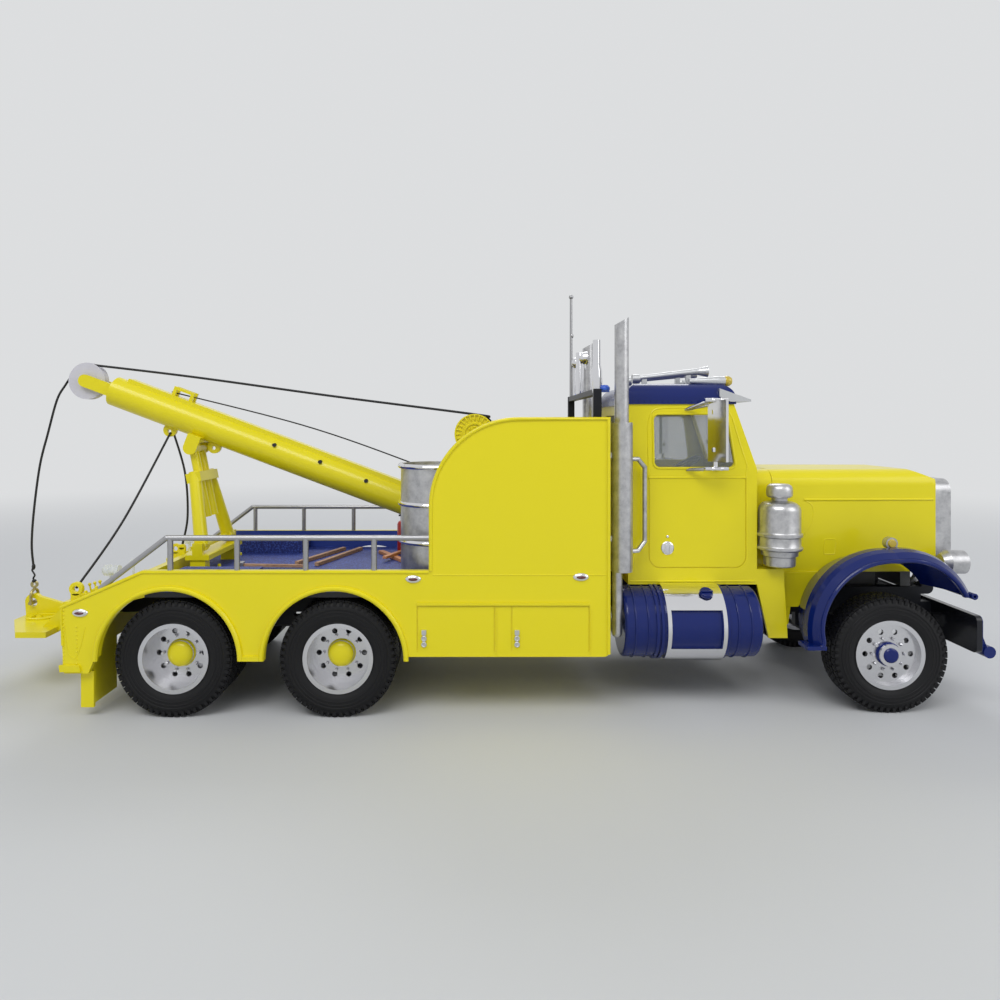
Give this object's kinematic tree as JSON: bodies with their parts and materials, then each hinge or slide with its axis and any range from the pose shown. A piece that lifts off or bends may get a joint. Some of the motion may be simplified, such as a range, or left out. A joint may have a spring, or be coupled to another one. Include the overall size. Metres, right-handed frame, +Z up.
{
  "type": "scale model tow truck",
  "caption": "Plastic scale model of a heavy tow truck with tilting hood, steered wheels, boom on a telescopic mast, winch and hinged tow bar.",
  "frame": {"origin": "middle of the footprint, on the floor the tyres stand on", "axes": "+X forward, +Y to the truck's left, +Z up"},
  "size_m": [0.3796, 0.1006, 0.1666],
  "materials": {
    "black_plastic": "satin",
    "blue_paint": "gloss",
    "clear_plastic": "clear",
    "deck_paint": "satin with a fine grain",
    "plating": "polished",
    "sheave_plastic": "translucent white",
    "silver_paint": "satin",
    "tool_wood": "bare",
    "tyre_rubber": "matte",
    "yellow_paint": "gloss"
  },
  "bodies": {
    "chassis": {"air_cleaners": "silver_paint", "body_bulkhead": "yellow_paint", "body_lockers": "yellow_paint", "body_sides": "yellow_paint", "body_tail": "yellow_paint", "bumper": "blue_paint", "cab_back": "yellow_paint", "cab_front": "yellow_paint", "cab_glass": "clear_plastic", "cab_interior": "black_plastic", "cab_roof": "blue_paint", "cab_sides": "yellow_paint", "cowl_skirts": "yellow_paint", "deck": "deck_paint", "deck_tools": "tool_wood", "driveline": "blue_paint", "drum": "silver_paint", "exhausts": "silver_paint", "frame_rails": "blue_paint", "front_axle": "blue_paint", "fuel_tanks": "blue_paint", "guard_rails": "silver_paint", "lamp_rack": "black_plastic", "mast_base": "yellow_paint", "mirrors": "plating", "mud_flaps": "yellow_paint", "radiator": "black_plastic", "rear_axles": "blue_paint", "roof_fittings": "plating", "springs": "blue_paint", "steering_wheel": "black_plastic", "step_boxes": "plating", "winch_frame": "yellow_paint"},
    "wheel_front_left_body": {"tyre_front_left": "tyre_rubber", "wheel_front_left": "plating"},
    "wheel_front_right_body": {"tyre_front_right": "tyre_rubber", "wheel_front_right": "plating"},
    "wheel_middle_left_body": {"tyre_middle_left": "tyre_rubber", "wheel_middle_left": "plating"},
    "wheel_middle_right_body": {"tyre_middle_right": "tyre_rubber", "wheel_middle_right": "plating"},
    "wheel_rear_left_body": {"tyre_rear_left": "tyre_rubber", "wheel_rear_left": "plating"},
    "wheel_rear_right_body": {"tyre_rear_right": "tyre_rubber", "wheel_rear_right": "plating"},
    "steer_left": {"knuckle_left": "blue_paint"},
    "steer_right": {"knuckle_right": "blue_paint"},
    "steering_link": {"tie_rod": "blue_paint"},
    "hood_body": {"hood": "yellow_paint", "radiator_shell": "plating", "grille": "silver_paint", "fenders": "blue_paint", "headlights": "plating"},
    "boom_body": {"boom": "yellow_paint"},
    "sheave_body": {"sheave": "sheave_plastic"},
    "mast_legs": {"mast_lower": "yellow_paint"},
    "mast_rods": {"mast_upper": "yellow_paint"},
    "winch": {"winch_drum": "yellow_paint"},
    "tow_bar_body": {"tow_bar": "yellow_paint"}
  },
  "joints": [
    {"name": "steer_left_turn", "type": "hinge", "parent": "chassis", "child": "steer_left", "pos_m": [0.1512, 0.0295, 0.021], "axis": [0, 0, 1], "range_deg": [-28, 28]},
    {"name": "steer_right_turn", "type": "hinge", "parent": "chassis", "child": "steer_right", "pos_m": [0.1512, -0.0295, 0.021], "axis": [0, 0, 1], "range_deg": [-28, 28]},
    {"name": "steering_link_turn", "type": "hinge", "parent": "steer_left", "child": "steering_link", "pos_m": [0.1422, 0.0295, 0.0161], "axis": [0, 0, 1], "range_deg": [-28, 28]},
    {"name": "wheel_front_left_spin", "type": "hinge", "parent": "steer_left", "child": "wheel_front_left_body", "pos_m": [0.1512, 0.0385, 0.021], "axis": [0, 1, 0], "continuous": true},
    {"name": "wheel_front_right_spin", "type": "hinge", "parent": "steer_right", "child": "wheel_front_right_body", "pos_m": [0.1512, -0.0385, 0.021], "axis": [0, 1, 0], "continuous": true},
    {"name": "wheel_middle_left_spin", "type": "hinge", "parent": "chassis", "child": "wheel_middle_left_body", "pos_m": [-0.0486, 0.0363, 0.021], "axis": [0, 1, 0], "continuous": true},
    {"name": "wheel_middle_right_spin", "type": "hinge", "parent": "chassis", "child": "wheel_middle_right_body", "pos_m": [-0.0486, -0.0363, 0.021], "axis": [0, 1, 0], "continuous": true},
    {"name": "wheel_rear_left_spin", "type": "hinge", "parent": "chassis", "child": "wheel_rear_left_body", "pos_m": [-0.1074, 0.0363, 0.021], "axis": [0, 1, 0], "continuous": true},
    {"name": "wheel_rear_right_spin", "type": "hinge", "parent": "chassis", "child": "wheel_rear_right_body", "pos_m": [-0.1074, -0.0363, 0.021], "axis": [0, 1, 0], "continuous": true},
    {"name": "hood_tilt", "type": "hinge", "parent": "chassis", "child": "hood_body", "pos_m": [0.1808, 0, 0.0396], "axis": [0, 1, 0], "range_deg": [0, 60]},
    {"name": "boom_lift", "type": "hinge", "parent": "chassis", "child": "boom_body", "pos_m": [0.0122, 0, 0.057], "axis": [0, 1, 0], "range_deg": [-2, 8]},
    {"name": "sheave_spin", "type": "hinge", "parent": "boom_body", "child": "sheave_body", "pos_m": [-0.16335, 0, 0.12316], "axis": [0, 1, 0], "continuous": true},
    {"name": "mast_swing", "type": "hinge", "parent": "chassis", "child": "mast_legs", "pos_m": [-0.1098, 0, 0.056], "axis": [0, 1, 0], "range_deg": [-3.14, 11.06]},
    {"name": "mast_extend", "type": "slide", "parent": "mast_legs", "child": "mast_rods", "axis": [-0.1975, 0, 0.9803], "range_m": [-0.00454, 0.01726]},
    {"name": "winch_spin", "type": "hinge", "parent": "chassis", "child": "winch", "pos_m": [0.0001, 0, 0.1011], "axis": [0, 1, 0], "continuous": true},
    {"name": "tow_bar_lift", "type": "hinge", "parent": "chassis", "child": "tow_bar_body", "pos_m": [-0.1618, 0, 0.031], "axis": [0, 1, 0], "range_deg": [0, 60]}
  ],
  "couplings": [
    {"joint": "steer_right_turn", "follows": "steer_left_turn", "ratio": 1},
    {"joint": "steering_link_turn", "follows": "steer_left_turn", "ratio": -1},
    {"joint": "mast_swing", "follows": "boom_lift", "ratio": 1.32},
    {"joint": "mast_extend", "follows": "boom_lift", "m_per_rad": 0.12147}
  ]
}
